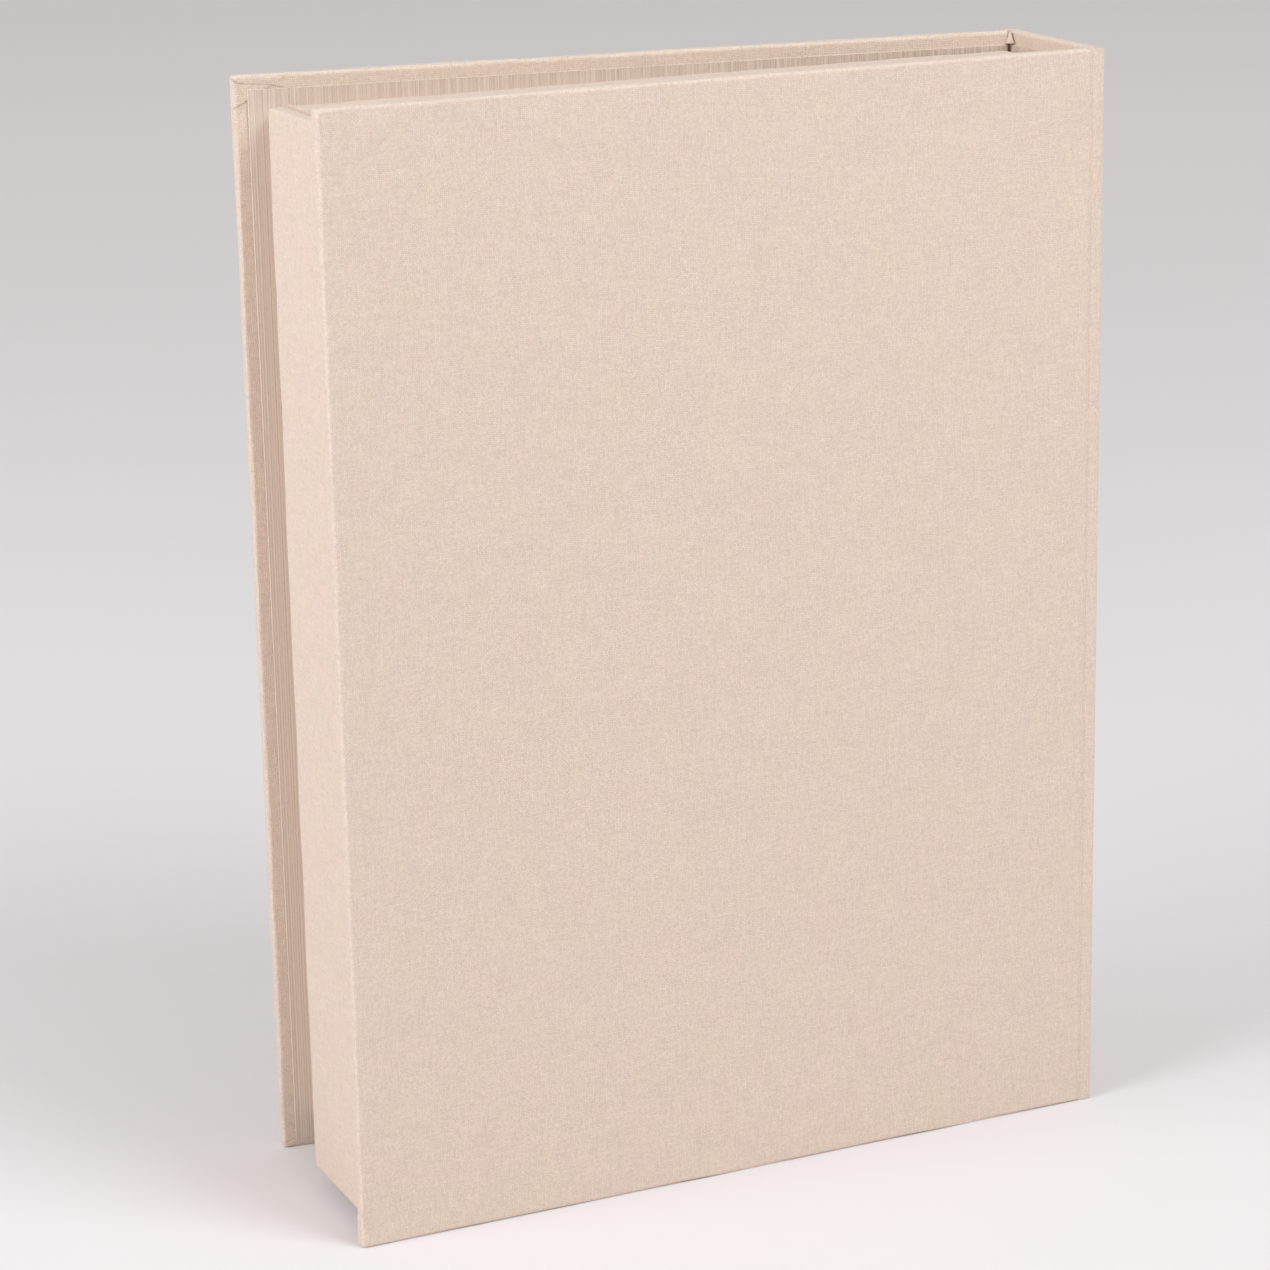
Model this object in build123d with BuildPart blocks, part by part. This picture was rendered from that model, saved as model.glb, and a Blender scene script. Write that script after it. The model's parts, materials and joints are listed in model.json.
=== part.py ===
"""Clamshell book box (drop-spine box), standing on its tail and a little open.

Three cloth-covered case boards are joined along two cloth joints: the front cover, the spine and
the back cover. The front cover carries the large tray and the back cover the small tray, which
nests inside the large one when the box is shut. Each tray has a head, a tail and a fore-edge wall,
and is open towards the spine.

+Z is up, from tail to head. +X points from the fore-edge to the spine, and +Y from the front cover
to the back cover. The origin is under the middle of the box, on the surface that it stands on.
"""
from build123d import *
from math import cos, radians, sin
import os

os.makedirs("parts", exist_ok=True)

# What the box is made to hold, and the ease around it
item_height = 305.0
item_width = 229.0
item_depth = 40.0
height_ease = 1.2
width_ease = 1.05
depth_ease = 1.6

# Boards, cloth and linings
case_board = 3.0
spine_board_thickness = 2.5
tray_board = 2.5
cloth = 0.6
lining = 0.5
joint_lining = 0.3

# Squares: how far the covers stand out beyond the large tray
head_square = 5.6
fore_square = 4.3

# Clearances with the box shut
side_gap = 1.3
fore_gap = 3.0
floor_gap = 1.0
rim_gap = 0.8
joint_gap = 0.7
tray_joint_gap = 1.1
spine_edge_gap = 0.3
floor_lining_gap = 0.3

# Cloth: turned in over the boards, left showing round the linings, wrapped past the joints
turn_in = 15.0
lining_margin = 4.2
joint_wrap = 3.0
edge_radius = 1.2
corner_radius = 1.6

# How far each joint is open as the box stands, in degrees
front_opening = 3.3
back_opening = 3.3

# Sizes that follow
cover_thickness = case_board + 2 * cloth
spine_thickness = spine_board_thickness + 2 * cloth + lining
wall = tray_board + 2 * cloth
tray_depth = item_depth + depth_ease
box_height = item_height + 2 * (height_ease + wall + side_gap + wall + head_square)
box_width = spine_thickness + item_width + 2 * width_ease + wall + fore_gap + wall + fore_square
front_floor = cover_thickness + tray_board + lining
back_floor = cover_thickness + lining + tray_board + lining
box_depth = front_floor + floor_gap + tray_depth + back_floor
joint_edge = spine_thickness + joint_gap
tray_edge = spine_thickness + tray_joint_gap
half_height = box_height / 2


def turned(along_x, along_y, degrees):
    """A level vector after a clockwise turn, seen from above."""
    angle = radians(degrees)
    return Vector(
        along_x * cos(angle) + along_y * sin(angle),
        along_y * cos(angle) - along_x * sin(angle),
        0,
    )


# The joint axes run up the middle of the cloth, at the two outer corners of the spine.
# The origin lies half way between the outermost corners of the standing box.
hinge_inset = cloth / 2
back_turn = front_opening + back_opening
spine_reach = turned(0, box_depth - cloth, front_opening)
far_corner = spine_reach + turned(hinge_inset - box_width, hinge_inset, back_turn)
front_hinge = Vector(
    (box_width - hinge_inset - spine_reach.X - hinge_inset) / 2,
    (hinge_inset - far_corner.Y) / 2,
    0,
)
back_hinge = front_hinge + spine_reach
mid_height = Vector(0, 0, half_height)

# Cover planes lie on each cover's outer face. Their x runs from the spine's outer face to the
# fore-edge, and their normal points into the box. The spine's plane lies on its outer face.
front_plane = Plane(
    origin=front_hinge + turned(hinge_inset, -hinge_inset, 0) + mid_height,
    x_dir=turned(-1, 0, 0),
    z_dir=turned(0, 1, 0),
)
back_plane = Plane(
    origin=back_hinge + turned(hinge_inset, hinge_inset, back_turn) + mid_height,
    x_dir=turned(-1, 0, back_turn),
    z_dir=turned(0, -1, back_turn),
)
spine_plane = Plane(
    origin=front_hinge + turned(hinge_inset, (box_depth - cloth) / 2, front_opening) + mid_height,
    x_dir=turned(0, -1, front_opening),
    z_dir=turned(-1, 0, front_opening),
)


def area(low_x, high_x, low_y, high_y, mode=Mode.ADD):
    """A rectangle between these limits, in the sketch that is open."""
    with Locations(((low_x + high_x) / 2, (low_y + high_y) / 2)):
        Rectangle(high_x - low_x, high_y - low_y, mode=mode)


def free_edges(block, plane, joint_side):
    """The edges round a block's two large faces, apart from those at the joint side."""
    large_faces = block.faces().filter_by(Axis((0, 0, 0), plane.z_dir))
    return [
        edge
        for edge in large_faces.edges()
        if plane.to_local_coords(edge.center()).X > joint_side + cloth / 2
    ]


def save(piece, name):
    """Label a finished piece and write it."""
    piece.label = name
    export_step(piece, f"parts/{name}.step")


# The two covers: a board, and cloth over its outer face that is turned in on the inner face
window_edge = box_width - cloth - turn_in
window_half = half_height - cloth - turn_in
for side, plane in {"front": front_plane, "back": back_plane}.items():
    with BuildPart() as cover_board:
        with BuildSketch(plane.offset(cloth)):
            area(joint_edge, box_width - cloth, cloth - half_height, half_height - cloth)
            fillet(vertices().group_by(Axis.X)[-1], corner_radius - cloth)
        extrude(amount=case_board)
        fillet(free_edges(cover_board, plane, joint_edge), edge_radius - cloth)
    save(cover_board.part, f"{side}_cover_board")

    with BuildPart() as cover_cloth:
        with BuildSketch(plane):
            area(joint_edge, box_width, -half_height, half_height)
            fillet(vertices().group_by(Axis.X)[-1], corner_radius)
        extrude(amount=cover_thickness)
        fillet(free_edges(cover_cloth, plane, joint_edge), edge_radius)
        add(cover_board.part, mode=Mode.SUBTRACT)
        with BuildSketch(plane.offset(cloth + case_board)):
            area(joint_edge, window_edge, -window_half, window_half)
        extrude(amount=cloth, mode=Mode.SUBTRACT)
    save(cover_cloth.part, f"{side}_cover_cloth")

# Front cover: card that levels the space between the turn-ins, under the large tray
with BuildPart() as front_cover_infill_card:
    with BuildSketch(front_plane.offset(cloth + case_board)):
        area(joint_edge, window_edge, -window_half, window_half)
    extrude(amount=cloth)
save(front_cover_infill_card.part, "front_cover_infill_card")

# Back cover: ribbed lining on card, which fills that space and laps over the turn-ins
with BuildPart() as back_cover_lining:
    with BuildSketch(back_plane.offset(cloth + case_board)):
        area(joint_edge, window_edge, -window_half, window_half)
    extrude(amount=cloth)
    with BuildSketch(back_plane.offset(cover_thickness)):
        lining_half = half_height - lining_margin
        area(joint_edge, box_width - lining_margin, -lining_half, lining_half)
    extrude(amount=lining)
save(back_cover_lining.part, "back_cover_lining")

# Spine: a board, its cloth with turn-ins at head and tail, and its lining
spine_half = (box_depth - cloth) / 2
board_half = spine_half - cloth / 2 - joint_lining - spine_edge_gap
outer_half = spine_half - joint_wrap
with BuildPart() as spine_board:
    with BuildSketch(spine_plane.offset(cloth)):
        area(-board_half, board_half, cloth - half_height, half_height - cloth)
    extrude(amount=spine_board_thickness)
save(spine_board.part, "spine_board")

with BuildPart() as spine_cloth:
    with BuildSketch(spine_plane):
        area(-board_half, board_half, -half_height, half_height)
    extrude(amount=cloth + spine_board_thickness + cloth)
    level_edges = edges().filter_by(Axis((0, 0, 0), spine_plane.x_dir))
    fillet(level_edges, edge_radius)
    with BuildSketch(spine_plane.offset(cloth)):
        area(-board_half, board_half, cloth - half_height, half_height - cloth)
    extrude(amount=spine_board_thickness, mode=Mode.SUBTRACT)
    with BuildSketch(spine_plane.offset(cloth + spine_board_thickness)):
        area(-board_half, board_half, -window_half, window_half)
    extrude(amount=cloth, mode=Mode.SUBTRACT)
    with BuildSketch(spine_plane):
        area(-board_half, -outer_half, -half_height, half_height)
        area(outer_half, board_half, -half_height, half_height)
    extrude(amount=cloth, mode=Mode.SUBTRACT)
save(spine_cloth.part, "spine_cloth")

with BuildPart() as spine_lining:
    with BuildSketch(spine_plane.offset(cloth + spine_board_thickness)):
        area(-board_half, board_half, -window_half, window_half)
    extrude(amount=cloth)
    with BuildSketch(spine_plane.offset(spine_thickness - lining)):
        lining_half = half_height - lining_margin
        area(-board_half, board_half, -lining_half, lining_half)
    extrude(amount=lining)
save(spine_lining.part, "spine_lining")

# The joints: the case cloth bends round each outer corner of the spine, and a thin inner strip
# lines the cover's edge and the back of the cloth. Each is drawn level and drawn up to full height.
joints = {
    "front": (front_hinge, 0, 1, front_opening),
    "back": (back_hinge, back_turn, -1, front_opening),
}
for side, (hinge, cover_turn, inward, spine_turn) in joints.items():
    level_plane = Plane(origin=hinge)
    cover_end = hinge_inset - joint_edge
    with BuildPart() as joint_cloth:
        with BuildSketch(level_plane):
            with BuildLine():
                FilletPolyline(
                    turned(cover_end, 0, cover_turn),
                    (0, 0, 0),
                    turned(0, inward * joint_wrap, spine_turn),
                    radius=edge_radius - cloth / 2,
                )
            trace(line_width=cloth)
        extrude(amount=box_height)
    save(joint_cloth.part, f"{side}_joint_cloth")

    strip_plane = Plane(origin=hinge, x_dir=turned(1, 0, cover_turn), z_dir=(0, 0, 1))
    strip_foot = inward * (cloth / 2)
    strip_top = inward * (cover_thickness - cloth / 2)
    strip_low, strip_high = sorted((strip_foot, strip_top))
    foot_low, foot_high = sorted((strip_foot, strip_foot + inward * joint_lining))
    with BuildPart() as joint_strip:
        with BuildSketch(strip_plane.offset(cloth)):
            area(cover_end, cover_end + joint_lining, strip_low, strip_high)
            area(cover_end, -edge_radius, foot_low, foot_high)
        extrude(amount=box_height - 2 * cloth)
    save(joint_strip.part, f"{side}_joint_lining")

# The two trays: a base board, three wall boards, three cloth coverings and a floor lining.
# Each is drawn on its cover's plane, where head and tail lie on either side of the mid height.
trays = {
    "large": (front_plane, 1, cover_thickness, fore_square, head_square),
    "small": (
        back_plane,
        -1,
        cover_thickness + lining,
        fore_square + wall + fore_gap,
        head_square + wall + side_gap,
    ),
}
large_rim = box_depth - cover_thickness - lining - rim_gap
small_rim = back_floor + tray_depth
rims = {"large": large_rim, "small": small_rim}
for size, (plane, head, seat, fore_inset, head_inset) in trays.items():
    outer_x = box_width - fore_inset
    inner_x = outer_x - wall
    outer_y = half_height - head_inset
    inner_y = outer_y - wall
    wall_height = rims[size] - seat
    seat_plane = plane.offset(seat)

    with BuildPart() as base_board:
        with BuildSketch(seat_plane):
            area(tray_edge, inner_x, -inner_y, inner_y)
        extrude(amount=tray_board)
    save(base_board.part, f"{size}_tray_base_board")

    with BuildPart() as floor_lining:
        with BuildSketch(seat_plane.offset(tray_board)):
            floor_half = inner_y - floor_lining_gap
            area(tray_edge, inner_x - floor_lining_gap, -floor_half, floor_half)
        extrude(amount=lining)
    save(floor_lining.part, f"{size}_tray_floor_lining")

    with BuildPart() as fore_edge_board:
        with BuildSketch(seat_plane):
            area(inner_x + cloth, outer_x - cloth, cloth - outer_y, outer_y - cloth)
        extrude(amount=wall_height - cloth)
    save(fore_edge_board.part, f"{size}_tray_fore_edge_board")

    wall_boards = {}
    for end, way in {"head": head, "tail": -head}.items():
        low_y, high_y = sorted((way * (inner_y + cloth), way * (outer_y - cloth)))
        with BuildPart() as wall_board:
            with BuildSketch(seat_plane):
                area(tray_edge + cloth, inner_x + cloth, low_y, high_y)
            extrude(amount=wall_height - cloth)
        wall_boards[end] = wall_board.part
        save(wall_board.part, f"{size}_tray_{end}_board")

    # One sheath over the three walls, which the seams beside the fore-edge corners divide
    with BuildPart() as sheath:
        with BuildSketch(seat_plane):
            area(tray_edge, outer_x, -outer_y, outer_y)
            area(tray_edge, inner_x, -inner_y, inner_y, mode=Mode.SUBTRACT)
            fillet(vertices().group_by(Axis.X)[-1], edge_radius)
        extrude(amount=wall_height)
        rim_face = faces().sort_by(Axis((0, 0, 0), plane.z_dir))[-1]
        fillet(
            [
                edge
                for edge in rim_face.edges()
                if plane.to_local_coords(edge.center()).X > tray_edge + cloth / 2
            ],
            edge_radius,
        )
        add(fore_edge_board.part, mode=Mode.SUBTRACT)
        for board in wall_boards.values():
            add(board, mode=Mode.SUBTRACT)

    seam_plane = Plane(
        origin=plane.from_local_coords((inner_x, 0, 0)), z_dir=plane.x_dir, x_dir=plane.z_dir
    )
    with BuildPart() as fore_edge_cloth:
        add(sheath.part)
        split(bisect_by=seam_plane, keep=Keep.TOP)
    save(fore_edge_cloth.part, f"{size}_tray_fore_edge_cloth")

    level_split = Plane(origin=(0, 0, half_height))
    for end, kept in {"head": Keep.TOP, "tail": Keep.BOTTOM}.items():
        with BuildPart() as wall_cloth:
            add(sheath.part)
            split(bisect_by=seam_plane, keep=Keep.BOTTOM)
            split(bisect_by=level_split, keep=kept)
        save(wall_cloth.part, f"{size}_tray_{end}_cloth")
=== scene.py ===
"""The looks of a clamshell book box: linen book cloth over board, ribbed paper linings, cloth joints."""
import json
import math

import bmesh
import bpy
import numpy as np
from mathutils import Matrix, Vector


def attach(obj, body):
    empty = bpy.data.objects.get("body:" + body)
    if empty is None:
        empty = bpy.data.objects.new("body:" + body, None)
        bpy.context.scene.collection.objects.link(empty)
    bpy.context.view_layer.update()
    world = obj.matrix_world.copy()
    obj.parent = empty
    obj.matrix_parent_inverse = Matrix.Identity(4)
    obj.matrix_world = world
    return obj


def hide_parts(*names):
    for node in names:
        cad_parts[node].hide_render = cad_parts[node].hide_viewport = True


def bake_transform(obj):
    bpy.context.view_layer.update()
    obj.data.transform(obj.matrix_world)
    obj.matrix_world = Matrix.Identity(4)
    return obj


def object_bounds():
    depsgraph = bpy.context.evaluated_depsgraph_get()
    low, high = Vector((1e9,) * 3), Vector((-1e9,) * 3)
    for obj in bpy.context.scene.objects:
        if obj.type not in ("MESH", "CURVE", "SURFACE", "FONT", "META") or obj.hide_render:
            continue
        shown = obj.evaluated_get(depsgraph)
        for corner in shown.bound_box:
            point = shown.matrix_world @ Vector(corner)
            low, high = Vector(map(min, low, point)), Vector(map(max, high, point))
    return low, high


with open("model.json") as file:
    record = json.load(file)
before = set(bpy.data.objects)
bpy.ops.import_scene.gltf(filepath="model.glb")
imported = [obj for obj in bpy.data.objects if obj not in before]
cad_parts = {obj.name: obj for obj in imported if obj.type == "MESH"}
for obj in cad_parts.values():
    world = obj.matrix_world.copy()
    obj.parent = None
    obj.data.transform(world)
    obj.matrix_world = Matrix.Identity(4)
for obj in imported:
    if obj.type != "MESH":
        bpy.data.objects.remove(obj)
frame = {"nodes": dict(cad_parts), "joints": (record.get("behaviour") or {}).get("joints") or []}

cad_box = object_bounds()
mm = 0.001


# ---- The three leaves -------------------------------------------------------------------------
# The box stands on its tail, a little open. Its front cover, spine and back cover are stiff leaves
# that turn on two upright axes, in the middle of the joint cloth at the spine's outer corners.
joints = {joint["name"]: joint for joint in frame["joints"]}
front_hinge = np.array(joints["front_joint"]["pos_m"])
back_hinge = np.array(joints["back_joint"]["pos_m"])
spine_turn = math.radians(-joints["front_joint"]["range_deg"][0])
back_turn = spine_turn + math.radians(-joints["back_joint"]["range_deg"][0])
cloth = 0.6 * mm
up = np.array([0.0, 0.0, 1.0])


def turned(x, y, angle):
    """A level vector after a clockwise turn, seen from above."""
    return np.array([
        x * math.cos(angle) + y * math.sin(angle),
        y * math.cos(angle) - x * math.sin(angle),
        0.0,
    ])


class Leaf:
    """A leaf's own plane: u runs across it, v up it from half height, d from its outer face inwards."""

    def __init__(self, origin, across, inward):
        self.origin, self.across, self.inward = origin, across, inward

    def place(self, u, v, d):
        """origin + u across + v up + d inward, for whole arrays."""
        u, v, d = (grid[..., None] for grid in np.broadcast_arrays(u, v, d))
        return self.origin + u * self.across + v * up + d * self.inward

    def measure(self, node):
        """The lowest and highest u, v and d of a CAD node on this plane."""
        mesh = frame["nodes"][node].data
        points = np.zeros(len(mesh.vertices) * 3, np.float32)
        mesh.vertices.foreach_get("co", points)
        away = points.reshape(-1, 3) - self.origin
        local = np.stack([away @ self.across, away @ up, away @ self.inward], axis=1)
        return local.min(0), local.max(0)


front = Leaf(
    front_hinge + turned(cloth / 2, -cloth / 2, 0), turned(-1, 0, 0), turned(0, 1, 0)
)
back = Leaf(
    back_hinge + turned(cloth / 2, cloth / 2, back_turn),
    turned(-1, 0, back_turn),
    turned(0, -1, back_turn),
)
spine = Leaf(
    (front_hinge + back_hinge) / 2 + turned(cloth / 2, 0, spine_turn),
    turned(0, -1, spine_turn),
    turned(-1, 0, spine_turn),
)


# ---- Book cloth -------------------------------------------------------------------------------
# Natural linen, paper-backed: uneven flax threads about half a millimetre apart, both ways, with
# slubs a few millimetres long. It is matt and a little paler on every arris, partly from wear where
# it is rubbed over a board's edge and partly as a painted highlight.
cloth_pink = (0.722, 0.575, 0.494, 1)
cloth_straw = (0.716, 0.589, 0.482, 1)
# cloth_rubbed is the arrises' colour: partly wear, partly a painted highlight.
cloth_rubbed = (0.84, 0.73, 0.65, 1)
# cloth_crease is painted shade: the colour laid into folds, seams and gaps, where shade falls.
cloth_crease = (0.26, 0.18, 0.13, 1)
# Lengths in millimetres: the threads' pitch, the bends they sway in, slubs, grain, wear and drift.
thread_pitch = 0.54
sway_long, sway_short = 11.0, 6.0
slub_length = 7.0
grain_size = 0.34
wear_size = 3.0
drift_length = 17.0
# How far a thread sways, in threads, and how far apart the noise of two neighbouring threads lies.
sway = 2.0
thread_step = 5.7
speck_strength = 0.12
slub_strength = 0.11
crossing_shade_strength = 0.17
crossing_mean = 0.4
grain_strength = 0.08
top_thread_light_strength = 0.04
rub_strength = 0.85
weave_relief = 0.1 * mm
weave_bump = 0.6


class Wire:
    """A shader value: Python's operators on it add the Math nodes they stand for."""

    def __init__(self, tree, socket):
        self.tree, self.socket = tree, socket

    def math(self, operation, *values):
        return node(self.tree, "ShaderNodeMath", {"operation": operation}, *values)

    def curve(self, operation):
        """A Math node of one value, such as SINE, of this one."""
        return self.math(operation, self)

    def __add__(self, other):
        return self.math("ADD", self, other)

    __radd__ = __add__

    def __sub__(self, other):
        return self.math("SUBTRACT", self, other)

    def __rsub__(self, other):
        return self.math("SUBTRACT", other, self)

    def __mul__(self, other):
        return self.math("MULTIPLY", self, other)

    __rmul__ = __mul__

    def __truediv__(self, other):
        return self.math("DIVIDE", self, other)


def node(tree, kind, settings, *values, out=0, **named):
    """A shader node: its settings first, then the values or links of its sockets. Returns an output."""
    made = tree.nodes.new(kind)
    for name, value in settings.items():
        setattr(made, name, value)
    named = {name.replace("_", " "): value for name, value in named.items()}
    for key, value in [*enumerate(values), *named.items()]:
        if isinstance(value, Wire):
            tree.links.new(value.socket, made.inputs[key])
        else:
            made.inputs[key].default_value = value
    return Wire(tree, made.outputs[out])


def mix(tree, amount, first, second):
    """A colour between two, each a colour or a link."""
    blend = tree.nodes.new("ShaderNodeMix")
    blend.data_type = "RGBA"
    for index, value in ((0, amount), (6, first), (7, second)):
        if isinstance(value, Wire):
            tree.links.new(value.socket, blend.inputs[index])
        else:
            blend.inputs[index].default_value = value
    return Wire(tree, blend.outputs[2])


def start_material(name, roughness, sheen):
    """A new material with one Principled shader. Returns the material, its tree and that shader."""
    material = bpy.data.materials.new(name)
    material.use_nodes = True
    shader = material.node_tree.nodes["Principled BSDF"]
    shader.inputs["Roughness"].default_value = roughness
    shader.inputs["Specular IOR Level"].default_value = 0.25
    shader.inputs["Sheen Weight"].default_value = sheen
    shader.inputs["Sheen Roughness"].default_value = 0.5
    return material, material.node_tree, shader


def linen(name, space):
    """Woven cloth. Threads run both ways, swaying a little. A crossing's height is the product of
    |sin| across each thread, and the tone follows it as painted shade, darker in the gaps between
    threads; the thread on top is painted lighter or darker, as light from one side would leave it.
    Each crossing and each stretch of thread have a tone of their own, and a slow noise drifts the
    colour between a pinker and a yellower thread."""
    material, tree, shader = start_material(name, 0.86, 0.12)
    if space == "UV":
        place = node(tree, "ShaderNodeUVMap", {"uv_map": "threads"})
    else:
        place = node(tree, "ShaderNodeTexCoord", {}, out=3)
    scaled = node(tree, "ShaderNodeVectorMath", {"operation": "SCALE"}, place, Scale=1 / mm)
    x = node(tree, "ShaderNodeSeparateXYZ", {}, scaled, out=0)
    y = Wire(tree, x.socket.node.outputs[1 if space == "UV" else 2])

    def field(across, along, kind="ShaderNodeTexNoise", **settings):
        flat = node(tree, "ShaderNodeCombineXYZ", {}, across, along, 0.0)
        return node(tree, kind, {"noise_dimensions": "2D"}, flat, **settings)

    def wave(count):
        return (count * math.pi).curve("SINE").curve("ABSOLUTE")

    warp_sway = field(x / sway_long, y / sway_short, Scale=1.0, Detail=1.0) * sway
    weft_sway = field(x / sway_short + 31.0, y / sway_long, Scale=1.0, Detail=1.0) * sway
    warp, weft = x / thread_pitch + warp_sway, y / thread_pitch + weft_sway
    crossing = wave(warp) * wave(weft)
    warp_count, weft_count = warp.curve("FLOOR"), weft.curve("FLOOR")
    speck = field(warp_count, weft_count, "ShaderNodeTexWhiteNoise")
    on_top = ((warp_count + weft_count) * 0.5).curve("FRACT") * 2
    upright = field(warp_count * thread_step, y / slub_length, Scale=1.0, Detail=1.0)
    level = field(x / slub_length, weft_count * thread_step, Scale=1.0, Detail=1.0)
    grain = field(x / grain_size, y / grain_size, Scale=1.0, Detail=1.0)
    # The tone: random specks, slubs and grain, with painted shade in the gaps between threads and
    # painted light on the thread on top.
    tone = (
        (speck - 0.5) * speck_strength
        + (upright + level - 1) * slub_strength
        + (crossing - crossing_mean) * crossing_shade_strength
        + (on_top - 0.5) * top_thread_light_strength
        + (grain - 0.5) * grain_strength
    )
    drift = field(x / drift_length, y / drift_length, Scale=1.0, Detail=2.0)
    colour = mix(tree, (drift - 0.5) * 2 + 0.5, cloth_pink, cloth_straw)
    # Painted highlight and wear: the cloth is paler on every arris, in patches.
    rub = node(tree, "ShaderNodeAttribute", {"attribute_name": "rub"}, out=2)
    worn = field(x / wear_size, y / wear_size, Scale=1.0, Detail=3.0)
    colour = mix(tree, rub * worn * rub_strength, colour, cloth_rubbed)
    # Painted shade in folds, seams and gaps, where shade falls.
    crease = node(tree, "ShaderNodeAttribute", {"attribute_name": "crease"}, out=2)
    colour = mix(tree, crease, colour, cloth_crease)
    colour = node(tree, "ShaderNodeHueSaturation", {}, Color=colour, Value=tone + 1)
    tree.links.new(colour.socket, shader.inputs["Base Color"])
    relief = crossing + (upright + level) * 0.3 + speck * 0.5
    bump = node(
        tree, "ShaderNodeBump", {}, Strength=weave_bump, Distance=weave_relief, Height=relief
    )
    tree.links.new(bump.socket, shader.inputs["Normal"])
    return material


book_cloth = linen("book_cloth", "UV")


# ---- Covers -----------------------------------------------------------------------------------
# Each cover is a 3 mm board in book cloth: the cloth lies over the outer face and is turned in 15 mm
# over head, tail and fore-edge. At a corner the head's flap is folded on top of the fore-edge's.
covers = {"front": (front, 1, 11), "back": (back, -1, 12)}
# edge_cover is how far the cloth stands in front of the board's edge at the joint.
edge_cover = 0.12 * mm
groove_place = 4.5 * mm
groove_width = 0.75 * mm
groove_depth = 0.22 * mm
unevenness = 0.07 * mm
joint_shoulder = 0.9 * mm
# tail_crease is the share of the creases' painted shade kept at the tail.
tail_crease = 0.35
# The folded corners, in millimetres: how far in they reach, the zone with close rows, where the top
# flap starts and how it rises and flares, how it fades out, and the step that ends the flap below.
flap = 16
flap_zone = 11
row_spacing = 0.2
fold_start, fold_rise, fold_bend = 0.8, 1.8, 1.4
flare, flare_reach, flare_scale = 0.7, 14, 12
fade_length = 4
step_start, step_slope, step_reach = 9.6, 0.55, 10
over_lift, under_lift, notch_sink = 0.35, 0.26, 0.15
over_edge, under_edge, notch_edge = 0.06, 0.12, 0.15
# Painted shade in the creases: how dark it is beside the top flap and at the corner, how far the
# corner's shade reaches along it, and how wide it is; then how dark and how wide the painted shade
# beside the step is.
fold_dark, corner_dark, corner_reach, fold_dark_width = 0.15, 0.75, 1.6, 0.22
step_dark, step_dark_width = 0.3, 0.3
# Columns of the grid beside the groove, over the plain of the face and over the flap.
edge_columns, plain_columns, flap_columns = 8, 46, 81
plain_rows = 60
# How far the sheet runs across the spine, from one outer corner to the other.
sheet_span = np.linalg.norm(back_hinge - front_hinge) + cloth

# Radii of a board's long edges and corners in cloth, and of an edge that a joint covers.
edge_radius = 1.2 * mm
corner_radius = 1.2 * mm
sharp = 0.05 * mm
arc_steps = 6
side_steps = 4
merge_distance = mm / 500
crease_angle = math.radians(35)


def ripple(x, y, seed, lengths=(14 * mm, 70 * mm), count=14):
    """The unevenness of pasted cloth: plane waves of random heading and phase, summed, about 1 high."""
    draw = np.random.default_rng(seed)
    length = np.exp(draw.uniform(math.log(lengths[0]), math.log(lengths[1]), count))
    heading = draw.uniform(0, 2 * math.pi, count)
    phase = draw.uniform(0, 2 * math.pi, count)
    total = np.zeros(np.broadcast(x, y).shape)
    for wave, turn, start in zip(length, heading, phase):
        total += np.sin((x * math.cos(turn) + y * math.sin(turn)) * 2 * math.pi / wave + start)
    return total * math.sqrt(2 / count)


# Marks the arrises, where the cloth is painted paler: partly wear, partly a painted highlight.
def rubbed(*normal):
    """How much of an edge a point is: 0 on the flats, 1 on an arris, from its normal's parts."""
    return np.clip(2 - 2 * np.max([part**2 for part in np.broadcast_arrays(*normal)], axis=0), 0, 1)


def add_mesh(name, points, sheet, material, **attributes):
    """Joins a grid of points (rows, columns, 3) into quads, with sheet as its UV map in metres, and
    merges what coincides, so that a grid whose ends meet becomes a closed skin."""
    rows, columns = points.shape[:2]
    index = np.arange(rows * columns).reshape(rows, columns)
    quads = np.stack([index[:-1, :-1], index[:-1, 1:], index[1:, 1:], index[1:, :-1]], axis=-1)
    quads = quads.reshape(-1, 4)
    mesh = bpy.data.meshes.new(name)
    mesh.from_pydata(points.reshape(-1, 3).tolist(), [], quads.tolist())
    threads = mesh.uv_layers.new(name="threads")
    corners = sheet.reshape(-1, 2)[quads.ravel()]
    threads.data.foreach_set("uv", corners.astype(np.float32).ravel())
    for key, values in attributes.items():
        values = np.broadcast_to(values, (rows, columns)).astype(np.float32)
        mesh.attributes.new(key, "FLOAT", "POINT").data.foreach_set("value", values.ravel())
    skin = bmesh.new()
    skin.from_mesh(mesh)
    bmesh.ops.remove_doubles(skin, verts=skin.verts, dist=merge_distance)
    bmesh.ops.dissolve_degenerate(skin, edges=skin.edges, dist=merge_distance)
    bmesh.ops.recalc_face_normals(skin, faces=skin.faces)
    skin.to_mesh(mesh)
    skin.free()
    mesh.shade_smooth()
    mesh.set_sharp_from_angle(angle=crease_angle)
    mesh.materials.append(material)
    piece = bpy.data.objects.new(name, mesh)
    bpy.context.scene.collection.objects.link(piece)
    return piece


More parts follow.
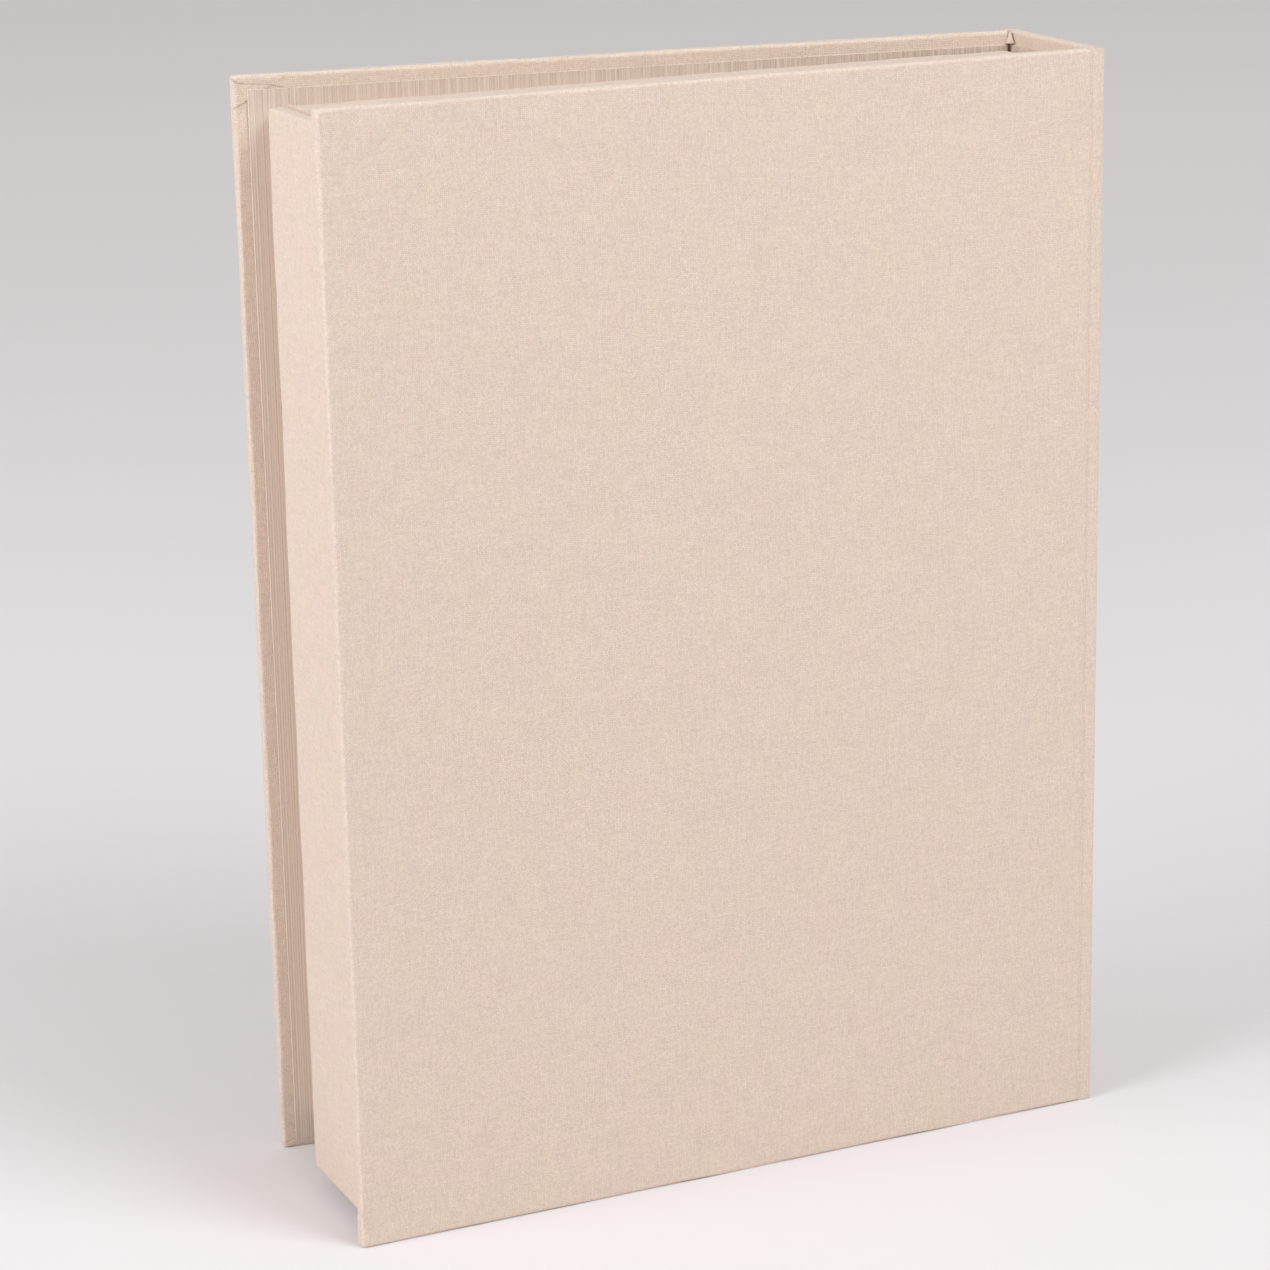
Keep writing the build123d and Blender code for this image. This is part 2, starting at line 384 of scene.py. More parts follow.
def section(low_u, high_u, low_d, high_d, radii, across):
    """A rounded rectangle on (u, d), a row for each height: along the outer face, round the far edge,
    back along the inner face and round the near edge. radii are the corners' in that order, from the
    outer face's near one; across is the same shares of the way across for both faces. Returns u and
    d, and both parts of the outward normal."""
    near_out, far_out, far_in, near_in = radii
    swing = np.linspace(0, math.pi / 2, arc_steps)[None, :]
    side = np.linspace(0, 1, side_steps)[None, 1:-1]
    column = 0 * low_d
    parts = []

    def run(start, end, normal, share):
        (u0, d0), (u1, d1) = start, end
        flat = column + 0 * share
        u, d = u0 + (u1 - u0) * share + flat, d0 + (d1 - d0) * share + flat
        parts.append((u, d, normal[0] + flat, normal[1] + flat))

    def arc(u, d, radius, start):
        nu, nd = np.cos(start + swing) + column, np.sin(start + swing) + column
        parts.append((u + radius * nu, d + radius * nd, nu, nd))

    run((low_u + near_out, low_d), (high_u - far_out, low_d), (0, -1), across[None, 1:-1])
    arc(high_u - far_out, low_d + far_out, far_out, -math.pi / 2)
    run((high_u, low_d + far_out), (high_u, high_d - far_in), (1, 0), side)
    arc(high_u - far_in, high_d - far_in, far_in, 0)
    run((high_u - far_in, high_d), (low_u + near_in, high_d), (0, 1), 1 - across[None, -2:0:-1])
    arc(low_u + near_in, high_d - near_in, near_in, math.pi / 2)
    run((low_u, high_d - near_in), (low_u, low_d + near_out), (-1, 0), side)
    arc(low_u + near_out, low_d + near_out, near_out, math.pi)
    grids = [np.concatenate([part[i] for part in parts], axis=1) for i in range(4)]
    return [np.concatenate([grid, grid[:, :1]], axis=1) for grid in grids]


def carry(low, high, edge, corner, radii, across, heights):
    """A board's skin: its section is carried up the height, and near head and tail it shrinks along
    quarter circles of the edge and corner radii, then closes on its own middle line. Returns u, v, d
    and the outward normal on a grid, and the sheet coordinates along the section and up."""
    rise = np.sin(np.linspace(0, math.pi / 2, arc_steps + 2)[:-1])
    v = np.concatenate([
        [low[1], low[1]],
        low[1] + edge * (1 - rise[::-1]),
        heights[(heights > low[1] + edge) & (heights < high[1] - edge)],
        high[1] - edge * (1 - rise),
        [high[1], high[1]],
    ])[:, None]
    to_end = np.minimum(v - low[1], high[1] - v)
    shrink = edge - np.sqrt(np.maximum(edge**2 - np.maximum(edge - to_end, 0) ** 2, 0))
    inset = corner - np.sqrt(np.maximum(corner**2 - np.maximum(corner - to_end, 0) ** 2, 0))
    limit = np.maximum(edge - shrink, 1e-9)
    u, d, nu, nd = section(
        low[0] + 0 * v, high[0] - inset, low[2] + shrink, high[2] - shrink,
        [np.minimum(radius, limit) for radius in radii], across,
    )
    d[[0, -1]] = (low[2] + high[2]) / 2
    level = 1 - np.clip(shrink / edge, 0, 1)
    nv = np.sign(v) * np.sqrt(1 - level**2) + 0 * u
    half = len(v) // 2
    along = np.concatenate([[0], np.cumsum(np.hypot(np.diff(u[half]), np.diff(d[half])))])
    face = len(across) // 2
    height = np.concatenate([[0], np.cumsum(np.hypot(np.diff(v[:, 0]), np.diff(d[:, face])))])
    height = height - height[half] + v[half, 0]
    return u, v + 0 * u, d, nu * level, nv, nd * level, along, height


def groove(u):
    """How far the cloth sinks between the board's edge and the spine's corner: a bell curve."""
    return groove_depth * np.exp(-(((u - groove_place) / groove_width) ** 2))


def folded_corner(a, b):
    """The flaps at a corner, a in from the fore-edge and b in from head or tail, in millimetres. The
    top flap's edge rises from the corner on an exponential curve, and a straight step ends the flap
    under it. Returns the lift in metres and the painted shade in the creases."""
    fold = (
        fold_start
        + fold_rise * (1 - np.exp(-a / fold_bend))
        + flare * (np.minimum(a, flare_reach) / flare_scale) ** 4
    )
    step = step_start - step_slope * a
    fade = np.clip((flap - a) / fade_length, 0, 1)
    over = fade / (1 + np.exp(np.clip((b - fold) / over_edge, -40, 40)))
    under = (1 - over) / (1 + np.exp(np.clip((b - step) / under_edge, -40, 40)))
    notch = fade * np.exp(-(((b - fold) / notch_edge) ** 2))
    lift = over_lift * over + under_lift * under - notch_sink * notch
    dark = (fold_dark + corner_dark * np.exp(-a / corner_reach)) * fade
    dark = dark * np.exp(-(((b - fold) / fold_dark_width) ** 2))
    below = step_dark * (1 - over) * np.exp(-(((b - step) / step_dark_width) ** 2)) * (a < step_reach)
    return lift * mm, dark + below


def cover_heights(half):
    """Heights for a cover's rows: close together at head and tail, where the flaps are folded."""
    fine = np.arange(edge_radius, flap_zone * mm, row_spacing * mm)
    plain = np.linspace(flap_zone * mm - half, half - flap_zone * mm, plain_rows)
    return np.concatenate([fine - half, plain, (half - fine)[::-1]])


for side, (leaf, way, seed) in covers.items():
    low, high = leaf.measure(f"{side}_cover_cloth")
    low[0] -= edge_cover
    width, half = high[0] - low[0], high[1]
    flap_edge = 1 - flap * mm / width
    across = np.concatenate([
        [0], np.linspace(0.3, 3, edge_columns) * mm / width,
        np.linspace(0.02, flap_edge, plain_columns)[:-1], np.linspace(flap_edge, 1, flap_columns),
    ])
    u, v, d, nu, nv, nd, along, height = carry(
        low, high, edge_radius, corner_radius, (sharp, edge_radius, edge_radius, joint_shoulder),
        across, cover_heights(half),
    )
    # The flaps' lift, and the painted shade in their creases.
    fold_lift, crease = folded_corner((high[0] - u) / mm, (half - abs(v)) / mm)
    inside = np.clip(1.5 * nd, 0, 1)
    lift = unevenness * ripple(u + 40 * mm * nd, v, seed) * np.clip((u - low[0]) / (3 * mm), 0, 1)
    lift = lift - np.where(nd < -0.5, groove(u), 0) + inside * fold_lift
    points = leaf.place(u + nu * lift, v + nv * lift, d + nd * lift)
    start = low[0] if way > 0 else -sheet_span - low[0]
    sheet = np.stack(np.broadcast_arrays(start + way * along[None, :], height[:, None]), axis=-1)
    piece = add_mesh(
        f"{side}_cover_book_cloth", points, sheet, book_cloth,
        crease=crease * inside * np.where(v > 0, 1, tail_crease), rub=rubbed(nu, nv, nd),
    )
    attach(piece, f"{side}_cover")
    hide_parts(f"{side}_cover_cloth")


# ---- Spine ------------------------------------------------------------------------------------
# The spine is a 2.5 mm board in the same piece of cloth, turned in at head and tail. Its long edges,
# where the cloth of the two joints is pasted on, are lower by that cloth's thickness.
low, high = spine.measure("spine_cloth")
low[0], high[0] = low[0] - edge_cover, high[0] + edge_cover
wrap_edge = spine.measure("front_joint_cloth")[0][0]
width = high[0] - low[0]
# The shelf's share of the width, half the width of the step down to it, and how far down it is.
shelf = (width / 2 - wrap_edge) / width
brink = 0.0002
shelf_sink = 1.03 * cloth
spine_columns, spine_rows = 24, 110
across = np.concatenate([
    [0, shelf - brink, shelf + brink],
    np.linspace(shelf + 0.02, 0.98 - shelf, spine_columns),
    [1 - shelf - brink, 1 - shelf + brink, 1],
])
u, v, d, nu, nv, nd, along, height = carry(
    low, high, edge_radius, sharp, (sharp, sharp, joint_shoulder, joint_shoulder),
    across, np.linspace(low[1], high[1], spine_rows),
)
lift = unevenness * ripple(u, v, 13) * np.clip((wrap_edge - abs(u)) / (4 * mm), 0, 1)
lift = lift - np.where(abs(u) > wrap_edge, shelf_sink * np.clip(-1.5 * nd, 0, 1), 0)
points = spine.place(u, v, d + nd * lift)
sheet = np.stack(
    np.broadcast_arrays(along[None, :] - sheet_span / 2 - width / 2, height[:, None]), axis=-1
)
piece = add_mesh("spine_book_cloth", points, sheet, book_cloth, rub=rubbed(nu, nv, nd))
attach(piece, "spine")
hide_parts("spine_cloth")


# ---- Joints -----------------------------------------------------------------------------------
# Between boards the same cloth is on its own: it leaves the cover's edge, dips into a shallow groove,
# bends round the corner of the spine and is pasted up its face. A second strip lines it and the
# cover's edge, and what is left over at head and tail stands up in a pleat.
bend_radius = 0.9 * mm
bend_reach = 2 * mm
turn_in = 15 * mm
strip_thickness = 0.3 * mm
strip_radius = 0.5 * mm
strip_doubled = 0.8
# Steps along the cloth over the groove, round the bend, up the spine and along the lining strip's
# legs; then the rows up a strip and round its ends.
groove_steps, bend_steps, paste_steps, leg_steps = 22, 12, 10, 10
strip_rows, end_rows = 100, 5
# A pleat hangs down, reaches in along the spine and stands out over the gap, and starts a little
# below the board's end. Its foot on the board spreads by shares of the shoulder, its foot on the
# spine by millimetres. The tail's pleats are smaller by tail_pleat.
pleat_drop = 3.4 * mm
pleat_reach = 2.2 * mm
pleat_rise = 1.3 * mm
pleat_start = 0.35 * mm
pleat_rows, pleat_columns = 14, 21
board_inset, board_spread = 0.2, 1.3
spine_gap, spine_spread = 0.7, 0.35
root_gap, root_depth = 0.4 * mm, 0.6 * mm
# Painted shade on a pleat: rim_dark along its edges, fading within rim_dark_reach of them, and full in
# its root; pleat_dark scales it all.
rim_dark, rim_dark_reach, pleat_dark = 0.6, 0.1, 0.4
tail_pleat = 0.45


def band(middle, normal, out, into, half, doubled):
    """An upright strip of cloth. Its level section runs along the middle line, out from it along
    normal, and comes back into it on the other side, where it is doubled over the turn-in. Head and
    tail are pinched in a half circle. Returns the points, and the sheet's place along and up."""
    ring = np.concatenate([middle + normal * out[:, None], (middle - normal * into[:, None])[::-1]])
    core = np.concatenate([middle, middle[::-1]])
    behind = np.concatenate([np.zeros(len(middle)), np.ones(len(middle))])
    ring, core, behind = (np.concatenate([part, part[:1]]) for part in (ring, core, behind))
    turn = np.linspace(0, math.pi / 2, end_rows)
    ends = half - cloth / 2 * (1 - np.sin(turn))
    body = np.linspace(cloth - half, half - cloth, strip_rows)
    height = np.concatenate([-ends[::-1], body, ends])
    pinch = np.concatenate([np.cos(turn)[::-1], np.ones(len(body)), np.cos(turn)])
    fold = doubled * np.clip((abs(height) - half + turn_in) / mm, 0, 1)
    swell = pinch[:, None] * (1 + fold[:, None] * behind[None])
    points = core[None] + (ring - core)[None] * swell[..., None] + (height[:, None] * up)[:, None]
    travel = np.concatenate([[0], np.cumsum(np.linalg.norm(np.diff(ring, axis=0), axis=1))])
    return points, travel, height


for side, (leaf, way, _) in covers.items():
    low, high = leaf.measure(f"{side}_cover_cloth")
    low[0] -= edge_cover
    half = high[1]
    hinge = front_hinge if side == "front" else back_hinge
    along_spine, spine_out, outward = -way * spine.across, -spine.inward, -leaf.inward
    corner_angle = math.acos(float(outward @ spine_out))
    tangent = bend_radius * math.tan(corner_angle / 2)
    bisector = (leaf.across + along_spine) / np.linalg.norm(leaf.across + along_spine)
    centre = hinge + bisector * bend_radius / math.cos(corner_angle / 2)
    cover_steps = np.linspace(low[0] - cloth / 2, tangent, groove_steps)
    swing = np.linspace(0, corner_angle, bend_steps)[1:-1, None]
    spine_steps = np.linspace(tangent, sheet_span / 2 - cloth / 2 - wrap_edge, paste_steps)
    bend_normal = (
        np.sin(corner_angle - swing) * outward + np.sin(swing) * spine_out
    ) / math.sin(corner_angle)
    middle = np.concatenate([
        hinge + cover_steps[:, None] * leaf.across,
        centre + bend_radius * bend_normal,
        hinge + spine_steps[:, None] * along_spine,
    ])
    normal = np.concatenate([
        np.repeat(outward[None], len(cover_steps), 0),
        bend_normal,
        np.repeat(spine_out[None], len(spine_steps), 0),
    ])
    dip = np.zeros(len(middle))
    dip[:len(cover_steps)] = groove(cover_steps + cloth / 2)
    points, travel, height = band(middle, normal, cloth / 2 - dip, cloth / 2 + dip / 2, half, 0.0)
    start = low[0] if way > 0 else -sheet_span - low[0]
    sheet = np.stack(np.broadcast_arrays(start - way * travel[None, :], height[:, None]), axis=-1)
    piece = add_mesh(f"{side}_joint_bend", points, sheet, book_cloth)
    tuple(hinge + bend_reach * leaf.across)
    tuple(hinge + bend_reach * along_spine)
    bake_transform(piece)
    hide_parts(f"{side}_joint_cloth")

    # The lining strip is an L: its foot lies on the joint's cloth, its other leg on the board's edge.
    foot, top = leaf.measure(f"{side}_joint_lining")
    middle_gap = strip_thickness / 2
    toe = np.linspace(foot[0], top[0] - middle_gap - strip_radius, leg_steps)
    swing = np.linspace(0, math.pi / 2, 7)[1:-1]
    leg = np.linspace(foot[2] + middle_gap + strip_radius, top[2] - joint_shoulder, leg_steps)
    u = np.concatenate([
        toe, toe[-1] + strip_radius * np.sin(swing), np.full(leg_steps, toe[-1] + strip_radius)
    ])
    d = np.concatenate([
        np.full(leg_steps, leg[0] - strip_radius), leg[0] - strip_radius * np.cos(swing), leg
    ])
    nu = np.concatenate([np.zeros(leg_steps), np.sin(swing), np.ones(leg_steps)])
    middle = leaf.place(u, 0 * u, d)
    normal = leaf.place(nu, 0 * nu, -np.sqrt(1 - nu**2)) - leaf.origin
    thickness = np.full(len(u), middle_gap)
    points, travel, height = band(middle, normal, thickness, thickness, top[1], strip_doubled)
    sheet = np.stack(np.broadcast_arrays(travel[None, :], height[:, None]), axis=-1)
    piece = add_mesh(f"{side}_joint_inner_strip", points, sheet, book_cloth)
    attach(piece, f"{side}_cover")
    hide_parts(f"{side}_joint_lining")

    # A pleat is a hollow tent over the gap. Its level section is a parabola from the cover's shoulder
    # to the spine's face, which grows from a point at the board's end to its full size lower down.
    grown = np.concatenate([[0.0], np.linspace(0, 1, pleat_rows), [1.0, 0.4, 0.4]])[:, None]
    hollow = np.concatenate([[0.0], np.ones(pleat_rows), [0.6, 0.6, 0.0]])[:, None]
    t = np.linspace(0, 1, pleat_columns)[None, :]
    # Painted shade along the pleat's edges and in its root.
    outline = rim_dark * np.exp(-((np.minimum(t, 1 - t) / rim_dark_reach) ** 2)) + (1 - hollow)
    outline = np.concatenate([outline, outline[:, :1], outline[:, :1]], axis=1)
    for end, (sign, size) in {"head": (1, 1.0), "tail": (-1, tail_pleat)}.items():
        board_u = low[0] + joint_shoulder * (board_spread * size * grown - board_inset)
        board_d = high[2] - sharp
        spine_u = low[0] - (spine_gap + spine_spread * grown) * mm
        spine_d = high[2] + pleat_reach * size * grown
        peak = pleat_rise * size * grown
        u = (1 - t) ** 2 * board_u + 2 * t * (1 - t) * (low[0] + peak) + t**2 * spine_u
        d = (1 - t) ** 2 * board_d + 2 * t * (1 - t) * (high[2] + peak) + t**2 * spine_d
        root_u, root_d = low[0] - root_gap, high[2] - root_depth
        u = np.concatenate([u, root_u + 0 * u[:, :1], u[:, :1]], axis=1)
        d = np.concatenate([d, root_d + 0 * d[:, :1], d[:, :1]], axis=1)
        u = root_u + (u - root_u) * hollow
        d = root_d + (d - root_d) * hollow
        v = sign * (half - pleat_start - pleat_drop * size * grown) + 0 * u
        sheet = np.stack([u + d, v], axis=-1)
        piece = add_mesh(
            f"{side}_joint_{end}_pleat", leaf.place(u, v, d), sheet, book_cloth,
            crease=np.clip(pleat_dark * outline, 0, 1),
        )
        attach(piece, f"{side}_cover")


# ---- Ribbed linings ---------------------------------------------------------------------------
# The linings are thick paper with an upright rib about every 0.8 mm, uneven as a laid rib is. One is
# pasted inside the back cover, one inside the spine, and one on the floor of each tray.
rib_pitch = 0.8 * mm
rib_depth = 0.09 * mm
rib_samples, lining_rows = 4, 16
lining_radius = 0.2 * mm
# How far a rib strays, in radians, by a fine and by a slow ripple.
stray_fine, stray_slow, stray_lengths = 0.9, 0.15, (2 * mm, 12 * mm)
# The ribs' tone changes this fast across and up, and so do the fibres', in millimetres.
tone_size = (0.42, 900.0)
fibre_size = (0.3, 1.2)
# valley_shade_strength sets the painted shade in the ribs' valleys.
valley_shade_strength, tone_strength, fibre_strength, lining_level = 0.3, 0.85, 0.5, 0.42
lining = 0.5 * mm
joint_gap = 0.5 * mm
tail_reach = 1.8 * mm
lining_pale = (0.795, 0.67, 0.58, 1)
lining_dark = (0.55, 0.44, 0.37, 1)


def ribbed_paper():
    """Paper with painted shade in the valleys between its ribs; each rib has its own tone, and fibres
    fleck it.
    """
    material, tree, shader = start_material("ribbed_paper", 0.8, 0.05)
    place = node(tree, "ShaderNodeUVMap", {"uv_map": "threads"})
    scaled = node(tree, "ShaderNodeVectorMath", {"operation": "SCALE"}, place, Scale=1 / mm)
    x = node(tree, "ShaderNodeSeparateXYZ", {}, scaled, out=0)
    y = Wire(tree, x.socket.node.outputs[1])

    def streaks(across, along, detail):
        flat = node(tree, "ShaderNodeCombineXYZ", {}, across, along, 0.0)
        return node(tree, "ShaderNodeTexNoise", {"noise_dimensions": "2D"}, flat,
                    Scale=1.0, Detail=detail, Roughness=0.6)

    crest = node(tree, "ShaderNodeAttribute", {"attribute_name": "crest"}, out=2)
    each = streaks(x / tone_size[0], y / tone_size[1], 0.0)
    fibre = streaks(x / fibre_size[0], y / fibre_size[1], 2.0)
    amount = (
        crest * valley_shade_strength
        + (each - 0.5) * tone_strength
        + (fibre - 0.5) * fibre_strength
        + lining_level
    )
    mixed = mix(tree, amount, lining_dark, lining_pale)
    tree.links.new(mixed.socket, shader.inputs["Base Color"])
    bump = node(tree, "ShaderNodeBump", {}, Strength=0.4, Distance=0.05 * mm, Height=fibre)
    tree.links.new(bump.socket, shader.inputs["Normal"])
    return material


lining_paper = ribbed_paper()
linings = {
    "back_cover_ribbed_lining": (back, "back_cover_lining", "back_cover", joint_gap, 0, tail_reach),
    "spine_ribbed_lining": (spine, "spine_lining", "spine", joint_gap, joint_gap, tail_reach),
    "large_tray_ribbed_floor": (front, "large_tray_floor_lining", "front_cover", 0, 0, 0),
    "small_tray_ribbed_floor": (back, "small_tray_floor_lining", "back_cover", 0, 0, 0),
}
for seed, (name, (leaf, cad_node, body, near_gap, far_gap, longer)) in enumerate(linings.items()):
    low, high = leaf.measure(cad_node)
    low = np.array([low[0] + near_gap, low[1] - longer, high[2] - lining])
    high[0] -= far_gap
    across = np.linspace(0, 1, rib_samples * round((high[0] - low[0]) / rib_pitch) + 1)
    u, v, d, nu, nv, nd, along, height = carry(
        low, high, lining_radius, lining_radius, [lining_radius] * 4,
        across, np.linspace(low[1], high[1], lining_rows),
    )
    stray = stray_fine * ripple(u, 0 * v, 30 + seed, stray_lengths)
    stray = stray + stray_slow * ripple(u, v, 40 + seed)
    crest = 0.5 + 0.5 * np.cos(2 * math.pi * u / rib_pitch + stray)
    face = np.clip((nd - 0.98) * 50, 0, 1)
    points = leaf.place(u, v, d - face * rib_depth * (1 - crest))
    sheet = np.stack(np.broadcast_arrays(along[None, :], height[:, None]), axis=-1)
    piece = add_mesh(name, points, sheet, lining_paper, crest=crest)
    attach(piece, body)
    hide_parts(cad_node)


# ---- Tray walls -------------------------------------------------------------------------------
# Each tray has three board walls in cloth. The fore-edge cloth goes round both corners, and the
# cloths of head and tail overlap it there with a folded edge, which stands up as a narrow ridge.
wall = 3.7 * mm
seam_shift = 1.9 * mm
fold_width = 1.1 * mm
fold_height = 0.95 * mm
overlap = 8 * mm
overlap_lift = 0.12 * mm
# hem_dark and tab_dark are painted shade, at a fold's tucked hem and in the sunk tab beside a seam.
hem, hem_sink, hem_dark = 0.1 * mm, 0.3 * mm, 0.3
tab_sink, tab_reach = 0.45 * mm, 1.3 * mm
tab_edge_sink, tab_edge = 0.25 * mm, 0.3 * mm
tab_dark, tab_dark_width = 0.22, 0.5 * mm
# The share of a seam's height that is left at the rim.
seam_at_rim = 0.6
# Columns of the grid: this far apart, and this many so far to either side of a corner and a seam.
column_step = 3 * mm
corner_zone, corner_columns = 2 * mm, 17
seam_zone, seam_columns = 3, 61
face_rows, rim_rows = 19, 9
trays = {"large": (front, "front_cover", 60), "small": (back, "back_cover", 40)}


def seam_lift(gap, kind):
    """The cloth's height and the painted shade in its crease beside a seam, by the distance from it. A
    fold is a half ellipse that falls away over the overlap; the tab below it sinks towards the seam on
    a bell curve."""
    if kind == "fold":
        rise = np.sqrt(np.clip(1 - ((gap - fold_width / 2) / (fold_width / 2)) ** 2, 0, 1))
        spare = overlap_lift * np.clip(1 - gap / overlap, 0, 1)
        tuck = np.exp(-((gap / hem) ** 2))
        return (fold_height - overlap_lift) * rise + spare - hem_sink * tuck, hem_dark * tuck
    sink = tab_sink * np.exp(-((gap / tab_reach) ** 2))
    sink = sink + tab_edge_sink * np.exp(-((gap / tab_edge) ** 2))
    return -sink, tab_dark * np.exp(-((gap / tab_dark_width) ** 2))


def wall_skin(leaf, low_u, high_u, half, low_d, high_d, start, end, seams, seed):
    """A stretch of the three walls. The outer line runs along the head, round a quarter circle at
    each fore-edge corner and back along the tail; the inner line is the outer one held within the
    tray; a section stands between them, rounded at the rim. start and end are distances along the
    outer line, and seams says what is at which of them. Returns points, sheet, the creases' painted
    shade, and the arrises' wear and painted highlight."""
    radius = edge_radius
    head_run = high_u - radius - low_u
    marks = np.cumsum([
        0, head_run, radius * math.pi / 2, 2 * (half - radius), radius * math.pi / 2, head_run
    ])
    spots = [np.arange(start, end, column_step), [end]]
    spots += [
        np.linspace(mark - corner_zone, mark + corner_zone, corner_columns) for mark in marks[1:5]
    ]
    spots += [mark + np.linspace(-seam_zone, seam_zone, seam_columns) * mm for mark in (start, end)]
    s = np.unique(np.round(np.concatenate(spots), 7))
    s = s[(s >= start) & (s <= end)]
    angle = np.interp(s, marks, [0, 0, math.pi / 2, math.pi / 2, math.pi, math.pi])
    outer_u = np.interp(s, [marks[0], marks[1], marks[4], marks[5]],
                        [low_u, high_u - radius, high_u - radius, low_u])
    outer_v = np.interp(s, [marks[2], marks[3]], [half - radius, radius - half])
    outer_u, outer_v = outer_u + radius * np.sin(angle), outer_v + radius * np.cos(angle)
    inner_u = np.minimum(outer_u, high_u - wall)
    inner_v = np.clip(outer_v, wall - half, half - wall)
    arc = np.linspace(0, math.pi / 2, rim_rows)
    flat = np.ones(face_rows - 1)
    top = high_d - radius
    rim = radius / wall
    share = np.concatenate([
        flat, 1 - rim * (1 - np.cos(arc)), [0.5], rim * (1 - np.sin(arc)), 0 * flat, [0.5, 1]
    ])
    depth = np.concatenate([
        np.linspace(low_d, top, face_rows)[:-1], top + radius * np.sin(arc), [high_d],
        top + radius * np.cos(arc), np.linspace(top, low_d, face_rows)[1:], [low_d, low_d],
    ])[None]
    face_out = np.concatenate([flat, np.cos(arc), [0], -np.sin(arc), -flat, [0, 1]])[None]
    face_up = np.concatenate([0 * flat, np.sin(arc), [1], np.cos(arc), 0 * flat, [0, 0]])[None]
    normal_u, normal_v = np.sin(angle)[:, None] * face_out, np.cos(angle)[:, None] * face_out
    lift = unevenness * ripple(s[:, None] + 60 * mm * face_out, depth, seed)
    lift = lift * np.clip(np.minimum(s - start, end - s) / (4 * mm), 0, 1)[:, None]
    crease = np.zeros((len(s), 1))
    for mark, kind in seams:
        raised, dark = seam_lift(abs(s - mark)[:, None], kind)
        lift = lift + raised * (
            seam_at_rim + (1 - seam_at_rim) * (high_d - depth) / (high_d - low_d)
        )
        crease = crease + dark
    lift = lift * np.clip((depth - low_d) / mm, 0, 1)
    corner = (inner_u == high_u - wall) & (abs(inner_v) == half - wall)
    lift = np.where(corner[:, None] & (face_out < 0), 0, lift)
    u = inner_u[:, None] + (outer_u - inner_u)[:, None] * share[None] + normal_u * lift
    v = inner_v[:, None] + (outer_v - inner_v)[:, None] * share[None] + normal_v * lift
    d = depth + face_up * lift
    core_u = 0.5 * (outer_u + inner_u)[[0, -1], None] + 0 * share[None]
    core_v = 0.5 * (outer_v + inner_v)[[0, -1], None] + 0 * share[None]
    core_d = np.minimum(depth, high_d - wall / 2) + 0 * core_u
    u, v, d = (
        np.concatenate([core[:1], grid, core[1:]])
        for core, grid in ((core_u, u), (core_v, v), (core_d, d))
    )
    rub = rubbed(normal_u, normal_v, face_up)
    crease, rub = (np.pad(grid + 0 * lift, ((1, 1), (0, 0)), "edge") for grid in (crease, rub))
    rise = np.concatenate([[0], np.cumsum(np.hypot(np.diff(share) * wall, np.diff(depth[0])))])
    s = np.concatenate([[s[0] - wall / 2], s, [s[-1] + wall / 2]])
    sheet = np.stack(np.broadcast_arrays(s[:, None], rise[None]), axis=-1)
    return leaf.place(u, v, d), sheet, crease, rub


for size, (leaf, body, seed) in trays.items():
    low, high = leaf.measure(f"{size}_tray_head_cloth")
    fore_low, fore_high = leaf.measure(f"{size}_tray_fore_edge_cloth")
    reach, half, seat, rim = fore_high[0], fore_high[1], fore_low[2], fore_high[2]
    length = 2 * (reach - edge_radius - low[0]) + math.pi * edge_radius + 2 * (half - edge_radius)
    head_seam = high[0] - low[0] - seam_shift
    tail_seam = length - head_seam
    walls = {
        "head": (0.0, head_seam, [(head_seam, "fold")]),
        "fore_edge": (head_seam, tail_seam, [(head_seam, "tab"), (tail_seam, "tab")]),
        "tail": (tail_seam, length, [(tail_seam, "fold")]),
    }
    for place, (end, (start, stop, seams)) in enumerate(walls.items()):
        points, sheet, crease, rub = wall_skin(
            leaf, low[0], reach, half, seat, rim, start, stop, seams, seed + place
        )
        piece = add_mesh(
            f"{size}_tray_{end}_book_cloth", points, sheet, book_cloth, crease=crease, rub=rub
        )
        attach(piece, body)
        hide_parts(f"{size}_tray_{end}_cloth")


# ---- Boards -----------------------------------------------------------------------------------
# The boards inside the cloth are grey millboard, pulped and pressed, with flecks and larger blotches.
# The base board of each tray is faced with the book cloth.
board_dark = (0.19, 0.175, 0.155, 1)
board_pale = (0.34, 0.32, 0.285, 1)
# How many flecks and how many blotches go to a metre.
fleck_count, blotch_count = 900.0, 90.0


def millboard():
    """Grey board: a fine and a coarse noise, added, choose between its dark and its pale grey."""
    material, tree, shader = start_material("grey_millboard", 0.9, 0.0)
    place = node(tree, "ShaderNodeTexCoord", {}, out=3)
    flecks = node(tree, "ShaderNodeTexNoise", {}, place, Scale=fleck_count, Detail=3.0)
    blotch = node(tree, "ShaderNodeTexNoise", {}, place, Scale=blotch_count, Detail=2.0)
    amount = flecks * 0.7 + blotch * 0.5 - 0.1
    mixed = mix(tree, amount, board_dark, board_pale)
    tree.links.new(mixed.socket, shader.inputs["Base Color"])
    bump = node(tree, "ShaderNodeBump", {}, Strength=0.3, Distance=0.05 * mm, Height=flecks)
    tree.links.new(bump.socket, shader.inputs["Normal"])
    return material


millboard_grey = millboard()
strip_cloth = linen("strip_cloth", "object")
for name, cad_piece in frame["nodes"].items():
    if cad_piece.hide_render:
        continue
    cad_piece.data.materials.clear()
    kept = strip_cloth if "base_board" in name else millboard_grey
    cad_piece.data.materials.append(kept)


# ---- Floor, light and camera ------------------------------------------------------------------
# A plain pale floor with painted light: paler further off, to make up for the lamps' light falling away
# there; two broad soft lights in front of it in a pale room.
floor_shade = (0.81, 0.785, 0.805, 1)
floor_far_painted_light = (0.97, 0.95, 0.97, 1)
floor_reach = 9.0
